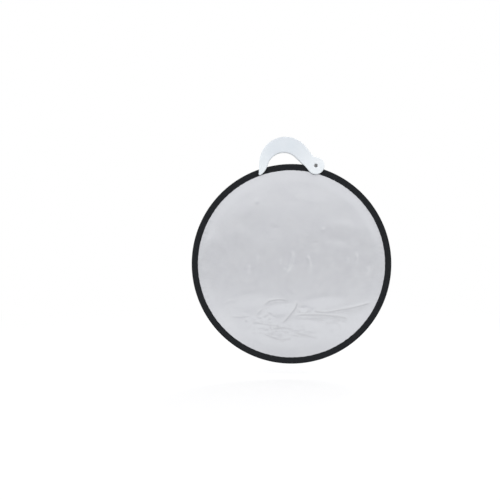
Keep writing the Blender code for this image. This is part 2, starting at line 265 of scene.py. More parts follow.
# %% Group helper
def new_group(name, inputs, outputs):
    """An empty shader group: inputs are (name, default), and a default of None makes a vector."""
    group = bpy.data.node_groups.new(name, "ShaderNodeTree")
    for label, default in inputs:
        kind = "NodeSocketVector" if default is None else "NodeSocketFloat"
        socket = group.interface.new_socket(label, in_out="INPUT", socket_type=kind)
        if default is not None:
            socket.default_value = default
    for label in outputs:
        group.interface.new_socket(label, in_out="OUTPUT", socket_type="NodeSocketFloat")
    return group, group.nodes.new("NodeGroupInput").outputs, group.nodes.new("NodeGroupOutput")


def use_group(tree, group, **inputs):
    node = tree.nodes.new("ShaderNodeGroup")
    node.node_tree = group
    set_inputs(tree, node, **inputs)
    return node.outputs


# %% [markdown]
# A plain weave is two sets of threads that take turns on top. The height of one set is a row of half
# circles, and a checkerboard says which set is above.


# %% Weave
def make_weave():
    group, given, result = new_group("plain_weave", [("Vector", None), ("Threads", 2000.0)], ["Height"])
    inputs = {0: given["Vector"], "Scale": given["Threads"]}
    scaled = add_node(group, "ShaderNodeVectorMath", inputs, operation="SCALE").outputs[0]
    parts = add_node(group, "ShaderNodeSeparateXYZ", {0: scaled}).outputs
    over, under = (
        maths(group, "ABSOLUTE", maths(group, "SINE", maths(group, "MULTIPLY", parts[axis], math.pi)))
        for axis in "XY"
    )
    above = add_node(group, "ShaderNodeTexChecker", {"Vector": scaled, "Scale": 1.0}).outputs["Fac"]
    height = add_node(group, "ShaderNodeMix", {"Factor": above, "A": over, "B": under})
    group.links.new(height.outputs["Result"], result.inputs["Height"])
    return group


weave = make_weave()


# %% Mottle and scratches
def make_mottle():
    """Slow cloudy change between a low and a high value."""
    inputs = [("Vector", None), ("Scale", 20.0), ("Detail", 4.0), ("Low", 0.0), ("High", 1.0)]
    group, given, result = new_group("soft_mottle", inputs, ["Value"])
    inputs = {name: given[name] for name in ("Vector", "Scale", "Detail")}
    noise = add_node(group, "ShaderNodeTexNoise", {**inputs, "Roughness": 0.55}).outputs["Fac"]
    inputs = {"Value": noise, "From Min": 0.3, "From Max": 0.7}
    spread = add_node(group, "ShaderNodeMapRange", {**inputs, "To Min": given["Low"], "To Max": given["High"]})
    group.links.new(spread.outputs["Result"], result.inputs["Value"])
    return group


def make_scratches():
    """Fine lines along X, for brushed, drawn or handled metal."""
    group, given, result = new_group("fine_scratches", [("Vector", None), ("Scale", 900.0)], ["Height"])
    drawn = add_node(group, "ShaderNodeMapping", {"Vector": given["Vector"], "Scale": (0.03, 1, 1)})
    inputs = {"Vector": drawn.outputs[0], "Scale": given["Scale"], "Detail": 3.0, "Roughness": 0.6}
    noise = add_node(group, "ShaderNodeTexNoise", inputs)
    group.links.new(noise.outputs["Fac"], result.inputs["Height"])
    return group


mottle = make_mottle()
scratches = make_scratches()


# %% Colour and bump helpers
def mottled(tree, place, scale, detail=3.0, low=0.0, high=1.0):
    """The slow mottle's value at each place."""
    return use_group(tree, mottle, Vector=place, Scale=scale, Detail=detail, Low=low, High=high)["Value"]


def between(tree, factor, first, second):
    """Colour that runs from first to second; each is three numbers or another colour's socket."""
    mix = add_node(tree, "ShaderNodeMix", {"Factor": factor}, data_type="RGBA")
    ends = [socket for socket in mix.inputs if socket.type == "RGBA"]
    for socket, colour in zip(ends, (first, second)):
        linked = isinstance(colour, bpy.types.NodeSocket)
        set_input(tree, socket, colour if linked else (*colour, 1))
    return next(socket for socket in mix.outputs if socket.type == "RGBA")


def bumped(tree, height, distance, strength=1.0, under=None):
    """Normal from a height; under is a normal to start from."""
    inputs = {"Height": height, "Distance": distance, "Strength": strength}
    if under is not None:
        inputs["Normal"] = under
    return add_node(tree, "ShaderNodeBump", inputs).outputs["Normal"]


# %% [markdown]
# ## Cloth
#
# Each face is one round sheet, stretched by the hoop. It is never quite flat: it bows out a little in the
# middle, the seam puckers its edge, and every time the disc is twisted shut it keeps a few more creases. A
# grid is bent into a round sheet by the elliptical mapping, which keeps all its cells square in the middle
# and has no pole. The height of each point is then a sum of simple shapes: a bow, long creases along
# listed lines, broad dents, small random crumples, and puckers at the seam. A simulation would give
# creases too, but not these ones.


# %% Sheet grid
LOWER_DETAIL = 0.2


def round_grid(radius, spacing):
    """Points (x, y) of a square grid bent into a round sheet; its rows are closer at the bottom."""
    count = int(2 * radius / spacing) // 2 * 2 + 1
    side = np.linspace(-1, 1, count)
    u, v = np.meshgrid(side, side - LOWER_DETAIL * (1 - side**2))
    x = u * np.sqrt(1 - v * v / 2)
    y = v * np.sqrt(1 - u * u / 2)
    return radius * np.stack([x, y], axis=-1)


def grid_faces(rows, columns, wrap=False):
    """Quads of a grid of points, closed round the rows if wrap."""
    faces = []
    for i in range(rows if wrap else rows - 1):
        below = (i + 1) % rows
        for j in range(columns - 1):
            faces.append((i * columns + j, i * columns + j + 1, below * columns + j + 1, below * columns + j))
    return faces


# %% Mesh helpers
def corner_points(mesh):
    """The number of the point at each corner of each face."""
    corners = np.empty(len(mesh.loops), np.int32)
    mesh.loops.foreach_get("vertex_index", corners)
    return corners


def set_uv(mesh, places):
    """A UV map, with one place for each corner."""
    mesh.uv_layers.new(name="UVMap").data.foreach_set("uv", places.astype(np.float32).ravel())


def add_wall(piece, label, thickness, offset):
    wall = piece.modifiers.new(label, "SOLIDIFY")
    wall.thickness = thickness
    wall.offset = offset


def tie(piece, body, node):
    """Says which body the piece moves with, and hides the solid that it stands for."""
    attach(piece, body)
    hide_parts(node)


# %% Creases
CREASE_SHADE_WIDTH = 2.2
CREASE_SHADE_DEPTH = 0.42
FADE_LENGTH = 20 * MM


def eased(share):
    """Starts and ends gently between 0 and 1."""
    return share * share * (3 - 2 * share)


def smooth_line(points, steps=8):
    """A smooth curve through listed points, given in mm from the disc's centre."""
    corners = np.array(points, float) * MM
    if len(corners) < 3:
        share = np.linspace(0, 1, steps + 1)[:, None]
        return corners[0] * (1 - share) + corners[1] * share
    padded = np.vstack([2 * corners[0] - corners[1], corners, 2 * corners[-1] - corners[-2]])
    line = []
    for a, b, c, d in zip(padded, padded[1:], padded[2:], padded[3:]):
        for t in np.linspace(0, 1, steps, endpoint=False):
            square, cube = 2 * a - 5 * b + 4 * c - d, 3 * b - a - 3 * c + d
            line.append(0.5 * (2 * b + (c - a) * t + square * t**2 + cube * t**3))
    line.append(corners[-1])
    return np.array(line)


def crease(spots, points, height, widths, round_off=0.7):
    """A fold along a line, sharp at its crest and fading at both ends, with a width left of the line's run and
    one right of it. A negative height presses it in. It gives the heights and a mask of painted shade at its
    crest."""
    line = smooth_line(points)
    starts, ends = line[:-1], line[1:]
    nearest = np.full(len(spots), np.inf)
    left = np.zeros(len(spots), bool)
    along = np.zeros(len(spots))
    for i, (start, end) in enumerate(zip(starts, ends)):
        run = end - start
        share = np.clip(((spots - start) @ run) / (run @ run), 0, 1)
        offset = spots - start - share[:, None] * run
        distance = np.hypot(offset[:, 0], offset[:, 1])
        closer = distance < nearest
        nearest[closer] = distance[closer]
        left[closer] = (run[0] * offset[closer, 1] - run[1] * offset[closer, 0]) > 0
        along[closer] = (i + share[closer]) / len(starts)
    length = np.hypot(*(ends - starts).T).sum()
    fade = np.clip(np.minimum(along, 1 - along) / min(0.5, FADE_LENGTH / length), 0, 1)
    fade = eased(fade)
    crest = np.hypot(nearest / MM, round_off) - round_off
    reach = np.where(left, widths[0], widths[1])
    # Painted shade: a mask that darkens the cloth along the crest of pressed-in folds.
    shade_mask = fade * np.exp(-((nearest / MM / CREASE_SHADE_WIDTH) ** 2)) * min(1.0, max(0.0, -height) / CREASE_SHADE_DEPTH)
    return height * MM * fade * np.exp(-crest / reach), shade_mask


def plate(spots, centre, size, turn, lift):
    """A patch between creases that has kept a tilt of its own: its lower edge stands proud by lift."""
    angle = math.radians(turn)
    offset = spots - np.array(centre) * MM
    u = (offset[:, 0] * math.cos(angle) + offset[:, 1] * math.sin(angle)) / (size[0] * MM)
    v = (offset[:, 1] * math.cos(angle) - offset[:, 0] * math.sin(angle)) / (size[1] * MM)
    return -lift * MM * v * np.exp(-((u**2 + v**2) ** 2))


def ripples(spots, random, count, shortest, longest, height):
    """Slow undulation: plane waves of random direction, longer ones higher."""
    total = np.zeros(len(spots))
    for _ in range(count):
        length = random.uniform(shortest, longest) * MM
        heading = random.uniform(0, math.pi)
        phase = random.uniform(0, 2 * math.pi)
        wave = spots @ np.array([math.cos(heading), math.sin(heading)]) / length
        total += height * MM * (length / (longest * MM)) * np.sin(2 * math.pi * wave + phase)
    return total


def crumples(spots, random, count, centre, spread, length, height, heading=0.0):
    """Short random creases of about one heading, gathered round a place, some raised and some pressed in."""
    total, crease_shade = np.zeros(len(spots)), np.zeros(len(spots))
    for _ in range(count):
        middle = np.array(centre) + random.normal(0, 1, 2) * np.array(spread)
        angle = heading + random.normal(0, 0.4)
        half = random.uniform(0.4, 1.0) * length / 2
        reach = half * np.array([math.cos(angle), math.sin(angle)])
        bend = random.normal(0, 0.15) * length * np.array([-math.sin(angle), math.cos(angle)])
        points = [middle - reach, middle + bend, middle + reach]
        rise = height * random.uniform(0.4, 1.0) * random.choice([-1, 1])
        widths = (random.uniform(1.6, 4.5), random.uniform(1.6, 4.5))
        heights, shade_mask = crease(spots, points, rise, widths)
        total += heights
        crease_shade = np.maximum(crease_shade, 0.5 * shade_mask)
    return total, crease_shade


PUCKER_HEIGHT = 0.05 * MM
PUCKER_REACH = 7


def seam_puckers(spots, random, edge):
    """Small pleats that run in from the seam, where sewing has taken up some of the cloth."""
    radius = np.hypot(spots[:, 0], spots[:, 1])
    angle = np.arctan2(spots[:, 1], spots[:, 0])
    pleats = np.zeros(len(spots))
    for _ in range(9):
        count = random.integers(40, 150)
        pleats += np.sin(count * angle + random.uniform(0, 2 * math.pi))
    inward = np.clip((edge - radius) / MM, 0, None)
    return PUCKER_HEIGHT * pleats * np.exp(-inward / PUCKER_REACH) * np.clip(inward / 3, 0, 1)


# %% [markdown]
# The silver cloth carries most of the creases. The lines below are in mm from the disc's centre: two long
# ones run out to the right in the lower third, one falls to the left of them, and short upright ones cross
# the middle.

# %% Creases in the silver cloth
SILVER_CREASES = [
    # points, height, (width on the left of the run, width on the right)
    ([(8, -155), (72, -153), (127, -157), (172, -164)], -0.55, (2.6, 9)),
    ([(62, -140), (100, -146), (150, -138), (197, -129), (245, -115)], -0.6, (2.8, 8)),
    ([(16, -110), (14, -128), (-4, -154), (-32, -184)], -0.5, (3.0, 6)),
    ([(14, -132), (24, -142), (26, -152)], -0.25, (2.0, 3)),
    ([(-82, -126), (-66, -112), (-36, -108), (-8, -113)], -0.45, (2.6, 6)),
    ([(-106, -158), (-96, -144), (-80, -132)], -0.35, (2.4, 4)),
    ([(-190, -158), (-150, -160), (-120, -156)], -0.25, (2.6, 6)),
    ([(-125, -172), (-75, -183), (-26, -189)], -0.3, (2.4, 5)),
    ([(-66, -200), (-30, -192), (14, -200)], -0.35, (2.6, 5)),
    ([(6, -206), (30, -214), (58, -219), (86, -228)], -0.28, (2.4, 4)),
    ([(-92, -206), (-60, -220), (-30, -229), (4, -222)], -0.24, (2.2, 4)),
    ([(24, -196), (18, -208), (6, -222)], -0.2, (2.4, 4)),
    ([(122, -172), (142, -184), (150, -206)], -0.16, (7.0, 5)),
    ([(-150, -92), (-122, -82), (-98, -74)], -0.14, (3.0, 7)),
    ([(-205, -120), (-180, -112), (-160, -116)], -0.12, (3.0, 6)),
    ([(7, 42), (5, 20), (0, 2), (-6, -12), (-14, -27)], 0.85, (3.0, 3.0)),
    ([(-22, 6), (-18, -8), (-16, -20)], 0.55, (3.0, 3.0)),
    ([(-35, 14), (-30, -2)], 0.5, (3.0, 3.0)),
    ([(48, 28), (54, 4), (58, -32)], 0.85, (2.8, 2.8)),
    ([(-128, 0), (-127, -30)], 0.6, (2.8, 2.8)),
    ([(-101, 28), (-99, 0)], 0.55, (3.2, 3.2)),
    ([(196, 38), (196, -6)], 0.65, (2.8, 2.8)),
    ([(170, 22), (170, 0)], 0.5, (3.0, 3.0)),
    ([(232, -2), (228, -38)], 0.6, (2.8, 2.8)),
    ([(96, 114), (96, 90)], 0.5, (3.0, 3.0)),
    ([(-72, 118), (-50, 110), (-30, 114)], -0.12, (3.0, 8)),
    ([(-96, 90), (-84, 97), (-72, 92)], -0.1, (3.0, 5)),
    ([(58, 70), (72, 66), (88, 71)], -0.16, (2.4, 5)),
    ([(100, 62), (136, 58), (176, 64)], 0.1, (9.0, 6)),
    ([(-20, 196), (6, 190), (30, 196)], -0.07, (4.0, 8)),
    ([(-104, 202), (-102, 176)], 0.5, (3.0, 3.0)),
]
SILVER_PLATES = [
    # centre, size, turn, lift
    ((-32, -134), (36, 22), 8, -0.75),
    ((44, -184), (46, 22), -4, -1.0),
    ((148, -194), (26, 24), 0, -0.85),
    ((100, -116), (62, 24), 6, -0.6),
    ((-122, -112), (46, 30), 10, -0.5),
    ((-44, -212), (26, 10), -4, -0.95),
    ((30, -211), (28, 7), -4, -0.75),
    ((-72, -162), (12, 8), 20, -0.5),
    ((38, -138), (16, 10), 0, -0.5),
    ((-88, -186), (20, 8), 0, -0.5),
    ((-150, 178), (34, 34), 20, 0.25),
    ((60, 210), (60, 26), -12, 0.2),
    ((150, 92), (58, 34), -10, -0.5),
    ((-150, 60), (34, 46), 12, -0.45),
    ((72, 14), (22, 24), 0, -0.35),
    ((-128, -34), (36, 28), 0, -0.3),
    ((-236, 24), (34, 62), 0, -0.7),
]


def creased(spots, creases, plates, gathers, random):
    """Adds up creases, plates and gathers of crumples, and keeps the strongest painted crease shade at each
    point.
    """
    total, crease_shade = np.zeros(len(spots)), np.zeros(len(spots))
    parts = [crease(spots, points, height, widths) for points, height, widths in creases]
    parts += [crumples(spots, random, *gather) for gather in gathers]
    for heights, shade_mask in parts:
        total += heights
        crease_shade = np.maximum(crease_shade, shade_mask)
    for centre, size, turn, lift in plates:
        total += plate(spots, centre, size, turn, lift)
    return total, crease_shade


SILVER_CRUMPLES = [
    # count, centre, spread, length, height, heading
    (18, (-72, -163), (13, 10), 15, 0.4, 0.6),
    (46, (-24, -206), (60, 18), 24, 0.45, -0.05),
    (18, (-108, -182), (30, 14), 22, 0.36, 0.0),
    (10, (-4, -78), (6, 10), 12, 0.2, 0.8),
    (12, (36, -142), (16, 8), 14, 0.34, 0.6),
    (12, (150, -180), (34, 20), 26, 0.18, 1.0),
    (12, (-14, 4), (16, 22), 22, 0.14, 1.5),
    (30, (-40, 84), (120, 34), 22, 0.09, 0.1),
    (16, (60, 0), (110, 40), 24, 0.08, 1.5),
    (14, (-20, 190), (90, 40), 26, 0.07, 0.1),
]


def silver_relief(spots):
    random = np.random.default_rng(11)
    total, crease_shade = creased(spots, SILVER_CREASES, SILVER_PLATES, SILVER_CRUMPLES, random)
    return total + ripples(spots, random, 16, 60, 230, 0.055), crease_shade


WHITE_CREASES = [
    ([(-190, -120), (-120, -134), (-40, -126)], -0.4, (2.8, 7)),
    ([(30, -166), (100, -150), (176, -158)], -0.4, (2.8, 7)),
    ([(-150, 90), (-140, 40), (-146, -20)], 0.3, (3.0, 3)),
]
WHITE_PLATES = [
    ((-60, -160), (60, 26), 6, 0.4),
    ((90, -120), (50, 30), -8, 0.35),
    ((-150, 150), (50, 40), 20, 0.2),
]
WHITE_CRUMPLES = [
    (24, (30, -190), (90, 22), 40, 0.2, 0.0),
    (20, (-60, -80), (90, 60), 36, 0.12, 0.4),
    (24, (0, 80), (140, 90), 40, 0.08, 0.9),
]


def white_relief(spots):
    random = np.random.default_rng(23)
    total, crease_shade = creased(spots, WHITE_CREASES, WHITE_PLATES, WHITE_CRUMPLES, random)
    return total + ripples(spots, random, 16, 60, 260, 0.07), crease_shade


# %% Build a cloth
CLOTH_RADIUS = 288 * MM
CLOTH_SPACING = 2.6 * MM
CLOTH_THICK = 0.38 * MM
BOW = 1.6 * MM
SEAM_RISE = 0.6 * MM
SEAM_REACH = 34 * MM


def make_cloth(name, relief, side, seed):
    """A cloth with its relief outwards: side is 1 for the silver face and -1 for the white one."""
    edge = RIM_RADIUS - BAND_WIDTH
    grid = round_grid(CLOTH_RADIUS, CLOTH_SPACING)
    rows, columns = grid.shape[:2]
    spots = grid.reshape(-1, 2)
    radius = np.hypot(spots[:, 0], spots[:, 1])
    held = eased(np.clip((edge - radius) / SEAM_REACH, 0, 1))
    bow = BOW * (1 - np.clip(radius / edge, 0, 1) ** 2)
    puckers = seam_puckers(spots, np.random.default_rng(seed), edge)
    folds, crease_shade = relief(spots)
    height = np.maximum(bow + held * (folds + SEAM_RISE) + puckers, 0)
    points = np.column_stack([spots, side * (CLOTH_FACE + height)])
    mesh = bpy.data.meshes.new(name)
    faces = grid_faces(rows, columns)
    if side < 0:
        faces = [face[::-1] for face in faces]
    mesh.from_pydata(points.tolist(), [], faces)
    mesh.transform(STAND_UP)
    set_uv(mesh, spots[corner_points(mesh)])
    # Painted shade along the pressed-in creases, kept on the mesh for the silver finish.
    crease_shade_layer = mesh.attributes.new("crease_shade", "FLOAT", "POINT")
    crease_shade_layer.data.foreach_set("value", crease_shade.astype(np.float32))
    mesh.shade_smooth()
    cloth = link(name, mesh)
    add_wall(cloth, "cloth thickness", CLOTH_THICK, -1)
    print(name, len(mesh.polygons), "quads, relief up to", round(1000 * height.max(), 2), "mm")
    return cloth


silver_cloth = make_cloth("silver_cloth", silver_relief, 1, 5)
white_cloth = make_cloth("white_cloth", white_relief, -1, 6)

# %% [markdown]
# The silver face is nylon with a thin metal coat: satin, not a mirror. Its weave is much finer than the
# creases, and a slow change in roughness breaks up the sheen. The white face is plain matt nylon.


# %% Cloth finishes
def own_uv(tree):
    return add_node(tree, "ShaderNodeUVMap", uv_map="UVMap").outputs["UV"]


def make_silver():
    material, tree, shader = new_material("silver_coated_nylon")
    flat = own_uv(tree)
    sheen = mottled(tree, flat, 45.0, 4.0, 0.19, 0.24)
    crease_shade = add_node(tree, "ShaderNodeAttribute", attribute_name="crease_shade").outputs["Fac"]
    threads = use_group(tree, weave, Vector=flat, Threads=2400.0)["Height"]
    unshaded_tone = between(tree, mottled(tree, flat, 14.0), (0.68, 0.69, 0.727), (0.705, 0.715, 0.748))
    # Painted shade: the colour darkens along the pressed-in creases, in place of the shade of their lower
    # flanks.
    colour = between(tree, crease_shade, unshaded_tone, (0.61, 0.617, 0.64))
    normal = bumped(tree, threads, 0.00002, 0.08)
    set_inputs(tree, shader, Base_Color=colour, Roughness=sheen, Metallic=0.85, Normal=normal)
    return material


def make_white():
    material, tree, shader = new_material("white_nylon")
    flat = own_uv(tree)
    threads = use_group(tree, weave, Vector=flat, Threads=2000.0)["Height"]
    colour = between(tree, mottled(tree, flat, 9.0), (0.72, 0.748, 0.772), (0.76, 0.785, 0.805))
    normal = bumped(tree, threads, 0.00005, 0.6)
    set_inputs(tree, shader, Base_Color=colour, Roughness=0.62, Normal=normal, Sheen_Weight=0.15)
    return material


silver_cloth.data.materials.append(make_silver())
white_cloth.data.materials.append(make_white())
for cloth, node, slot in (
    (silver_cloth, "silver_fabric", "silver_cloth"),
    (white_cloth, "white_fabric", "white_cloth"),
):
    tie(cloth, "disc", node)

# %% [markdown]
# ## Rim
#
# A woven tape is folded over the hoop and sewn through both cloths near its inner edges. In section it is a
# drop: fat where the hoop fills it and thin at the seam. The section is swept round the disc with enough
# steps for the tape to dip at every stitch.

# %% Stitch spacing
SEAM_INSET = 2.6 * MM
STITCH_PITCH = 3.9 * MM
SEAM_RADIUS = RIM_RADIUS - BAND_WIDTH + SEAM_INSET
STITCHES = round(2 * math.pi * SEAM_RADIUS / STITCH_PITCH)
STEPS_A_STITCH = 3
TAPE_THICK = 0.7 * MM
print(STITCHES, "stitches in each row")

# %% Tape section
# Distance in from the rim and height above the middle in mm, from the front edge round the hoop.
TAPE_SECTION = [
    (17.9, 1.18), (17.5, 1.45), (16.4, 1.68), (15.2, 1.66), (13.8, 2.1), (11.0, 2.75), (8.0, 3.35),
    (5.4, 3.95), (3.6, 4.22), (1.9, 4.02), (0.7, 3.1), (0.15, 1.6), (0.0, 0.0),
]
SEAM_DIP = 0.16 * MM
SEAM_DIP_WIDTH = 1.6 * MM
EDGE_WAVER = 0.09 * MM
FACE_WAVER = 0.03 * MM


def make_tape(name):
    """The whole ring of tape, and the length round its section."""
    random = np.random.default_rng(3)
    profile = np.array(TAPE_SECTION + [(inset, -height) for inset, height in TAPE_SECTION[-2::-1]]) * MM
    angles = np.linspace(0, 2 * math.pi, STITCHES * STEPS_A_STITCH, endpoint=False)
    edge_share = np.clip((profile[:, 0] - 10 * MM) / (8 * MM), 0, 1)
    waver = np.zeros(len(angles))
    for _ in range(7):
        waver += np.sin(random.integers(20, 130) * angles + random.uniform(0, 2 * math.pi))
    pull = 0.5 + 0.5 * np.cos(STITCHES * angles)
    seam_share = np.exp(-(((profile[:, 0] - (BAND_WIDTH - SEAM_INSET)) / SEAM_DIP_WIDTH) ** 2))
    points = []
    for angle, sway, tug in zip(angles, waver, pull):
        radius = RIM_RADIUS - profile[:, 0] + EDGE_WAVER * sway * edge_share
        dip = SEAM_DIP * tug * seam_share + FACE_WAVER * sway * edge_share
        height = profile[:, 1] - np.sign(profile[:, 1]) * dip
        points.append(np.column_stack([radius * math.cos(angle), radius * math.sin(angle), height]))
    rows, columns = len(points), len(profile)
    mesh = bpy.data.meshes.new(name)
    mesh.from_pydata(np.concatenate(points).tolist(), [], grid_faces(rows, columns, wrap=True))
    lengths = np.concatenate([[0], np.cumsum(np.hypot(*np.diff(profile, axis=0).T))])
    spread = np.column_stack([np.repeat(angles * RIM_RADIUS, columns), np.tile(lengths, rows)])
    place = spread[corner_points(mesh)].reshape(-1, 4, 2)
    turn = 2 * math.pi * RIM_RADIUS
    late = np.ptp(place[..., 0], axis=1) > turn / 2
    place[late, :, 0] = np.where(place[late, :, 0] < turn / 2, place[late, :, 0] + turn, place[late, :, 0])
    set_uv(mesh, place)
    mesh.transform(STAND_UP)
    mesh.shade_smooth()
    tape = link(name, mesh)
    add_wall(tape, "tape thickness", TAPE_THICK, 1)
    return tape, lengths[-1]


binding_tape, tape_width = make_tape("binding_tape")
print("tape cut", round(1000 * tape_width, 1), "mm wide")


# %% [markdown]
# Black tape is woven much more coarsely than the cloth, and it has a dull sheen along its ridges.


# %% Tape finish
def make_tape_finish():
    material, tree, shader = new_material("black_woven_tape")
    along = own_uv(tree)
    threads = use_group(tree, weave, Vector=along, Threads=1100.0)["Height"]
    colour = between(tree, mottled(tree, along, 160.0), (0.0065, 0.0075, 0.009), (0.0125, 0.0145, 0.017))
    normal = bumped(tree, threads, 0.00018, 0.8)
    set_inputs(tree, shader, Base_Color=colour, Roughness=0.82, Normal=normal, Specular_IOR_Level=0.18)
    return material


binding_tape.data.materials.append(make_tape_finish())
tie(binding_tape, "disc", "rim_binding")

# %% [markdown]
# ## Stitches
#
# Several hundred stitches follow one circle, which is what Geometry Nodes are for. A mesh circle gives a
# point for each stitch, a small thread capsule is placed on every point and turned along the circle, and a
# little random tilt keeps them from looking printed. The result is made real and turned into a plain mesh.


# %% Stitch tree
def make_stitch_tree():
    tree = bpy.data.node_groups.new("stitch_row", "GeometryNodeTree")
    sockets = [
        ("Count", "NodeSocketInt"),
        ("Radius", "NodeSocketFloat"),
        ("Height", "NodeSocketFloat"),
        ("Stitch Length", "NodeSocketFloat"),
        ("Thread", "NodeSocketFloat"),
        ("Finish", "NodeSocketMaterial"),
    ]
    for label, kind in sockets:
        tree.interface.new_socket(label, in_out="INPUT", socket_type=kind)
    tree.interface.new_socket("Geometry", in_out="OUTPUT", socket_type="NodeSocketGeometry")
    given = tree.nodes.new("NodeGroupInput").outputs
    inputs = {"Vertices": given["Count"], "Radius": given["Radius"]}
    circle = add_node(tree, "GeometryNodeMeshCircle", inputs)
    half = maths(tree, "MULTIPLY", given["Stitch Length"], 0.5)
    shape = add_node(tree, "ShaderNodeCombineXYZ", {0: half, 1: given["Thread"], 2: given["Thread"]})
    ball = add_node(tree, "GeometryNodeMeshUVSphere", {"Segments": 6, "Rings": 5, "Radius": 1.0})
    inputs = {"Geometry": ball.outputs["Mesh"], "Scale": shape.outputs[0]}
    thread = add_node(tree, "GeometryNodeTransform", inputs)
    spot = tree.nodes.new("GeometryNodeInputPosition")
    inputs = {0: (0, 0, 1), 1: spot.outputs[0]}
    along = add_node(tree, "ShaderNodeVectorMath", inputs, operation="CROSS_PRODUCT")
    turn = add_node(tree, "FunctionNodeAlignRotationToVector", {"Vector": along.outputs[0]}, axis="X")
    tilt = add_node(tree, "FunctionNodeRandomValue", {"Seed": 4}, data_type="FLOAT_VECTOR")
    tilt.inputs["Min"].default_value = (-0.02, -0.03, -0.06)
    tilt.inputs["Max"].default_value = (0.02, 0.03, 0.06)
    inputs = {0: turn.outputs[0], 1: tilt.outputs[0]}
    wobble = add_node(tree, "FunctionNodeRotateRotation", inputs, rotation_space="LOCAL")
    inputs = {"Points": circle.outputs[0], "Instance": thread.outputs[0], "Rotation": wobble.outputs[0]}
    placed = add_node(tree, "GeometryNodeInstanceOnPoints", inputs)
    rise = add_node(tree, "ShaderNodeCombineXYZ", {2: given["Height"]})
    inputs = {"Geometry": placed.outputs[0], "Translation": rise.outputs[0]}
    raised = add_node(tree, "GeometryNodeTransform", inputs)
    real = add_node(tree, "GeometryNodeRealizeInstances", {"Geometry": raised.outputs[0]})
    inputs = {"Geometry": real.outputs[0], "Material": given["Finish"]}
    done = add_node(tree, "GeometryNodeSetMaterial", inputs)
    tree.links.new(done.outputs[0], tree.nodes.new("NodeGroupOutput").inputs["Geometry"])
    return tree


def grown_piece(name, tree, **inputs):
    """Runs a Geometry Nodes tree with these inputs and keeps the result as a plain mesh, stood upright."""
    host = link(name + "_host", bpy.data.meshes.new(name + "_host"))
    modifier = host.modifiers.new("nodes", "NODES")
    modifier.node_group = tree
    names = {item.name: item.identifier for item in tree.interface.items_tree if item.in_out == "INPUT"}
    for label, value in inputs.items():
        modifier[names[label.replace("_", " ")]] = value
    host.update_tag()
    mesh = baked(host)
    remove(host)
    mesh.name = name
    mesh.transform(STAND_UP)
    mesh.shade_smooth()
    piece = link(name, mesh)
    print(name, len(mesh.polygons), "faces")
    return piece


# %% Thread and rows
STITCH_HEIGHT = 1.72 * MM
STITCH_LENGTH = 3.0 * MM
THREAD_RADIUS = 0.24 * MM


def make_thread():
    material, tree, shader = new_material("black_thread")
    twist = use_group(tree, scratches, Vector=object_place(tree), Scale=4000.0)["Height"]
    colour = between(tree, twist, (0.016, 0.018, 0.021), (0.035, 0.038, 0.042))
    set_inputs(tree, shader, Base_Color=colour, Roughness=0.6, Normal=bumped(tree, twist, 0.00005))
    return material


thread_finish = make_thread()
stitch_row = make_stitch_tree()
for name, side in (("seam_stitches_front", 1), ("seam_stitches_back", -1)):
    row = grown_piece(
        name,
        stitch_row,
        Count=STITCHES,
        Radius=SEAM_RADIUS,
        Height=side * STITCH_HEIGHT,
        Stitch_Length=STITCH_LENGTH,
        Thread=THREAD_RADIUS,
        Finish=thread_finish,
    )
    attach(row, "disc")

# %% [markdown]
# ## Handle
#
# The handle is two mouldings that meet on the rim's middle plane. Its outline is a band stretched round
# circles, like a belt round pulleys: a circle for the nose, the boss and the outside of the arch, and
# hollow ones for the finger opening. The blank is a flat curve with a round edge, cut in half and hollowed
# by Booleans.

# %% Handle outline
# (x, y, radius) in mm from the pivot; a negative radius is a hollow bend.
HANDLE_CIRCLES = [
    (-167.5, -24.9, 4.0),
    (-193.9, 13.4, 50.5),
    (-95.8, -9.9, -49.7),
    (-95.5, -66.3, -90.0),
    (0.0, 0.0, 26.1),
    (-3.5, 31.4, -5.0),
    (-91.4, 8.7, 78.1),
]
CHEEK = 3 * MM
SKIRT = 2.6 * MM
HANDLE_EDGE = 3 * MM
CURVE_SAG = 0.02 * MM


def belt(circles, inset=0.0):
    """Outline of a band stretched round circles in turn, anticlockwise; inset draws it in."""
    rounds = [(x * MM, y * MM, radius * MM - inset) for x, y, radius in circles]
    headings = []
    for (x, y, radius), (next_x, next_y, next_radius) in zip(rounds, rounds[1:] + rounds[:1]):
        span = math.hypot(next_x - x, next_y - y)
        lean = math.asin((next_radius - radius) / span)
        headings.append(math.atan2(next_y - y, next_x - x) - lean)
    outline = []
    for i, (x, y, radius) in enumerate(rounds):
        turn = (headings[i] - headings[i - 1]) % (2 * math.pi)
        if radius < 0:
            turn -= 2 * math.pi
        largest_step = 2 * math.acos(1 - CURVE_SAG / abs(radius))
        count = max(1, math.ceil(abs(turn) / largest_step))
        for j in range(count + 1):
            heading = headings[i - 1] + turn * j / count
            outline.append((x + radius * math.sin(heading), y - radius * math.cos(heading)))
    return outline


# %% Solids for cutting and joining
def slab(name, outline, low, high, edge=0.0):
    """Flat outline made solid between two heights, its edges rounded."""
    curve = bpy.data.curves.new(name, "CURVE")
    curve.dimensions = "2D"
    curve.fill_mode = "BOTH"
    curve.extrude = (high - low) / 2 - edge
    curve.bevel_depth = edge
    curve.bevel_resolution = 5
    curve.offset = -edge
    spline = curve.splines.new("POLY")
    spline.points.add(len(outline) - 1)
    for point, (x, y) in zip(spline.points, outline):
        point.co = (x, y, 0, 1)
    spline.use_cyclic_u = True
    drawn = link(name, curve)
    mesh = baked(drawn)
    remove(drawn)
    shape = bmesh.new()
    shape.from_mesh(mesh)
    bmesh.ops.remove_doubles(shape, verts=shape.verts, dist=0.00001)
    bmesh.ops.recalc_face_normals(shape, faces=shape.faces)
    bmesh.ops.translate(shape, verts=shape.verts, vec=(PIVOT_X, PIVOT_Y, (low + high) / 2))
    shape.to_mesh(mesh)
    shape.free()
    mesh.materials.clear()
    return link(name, mesh)


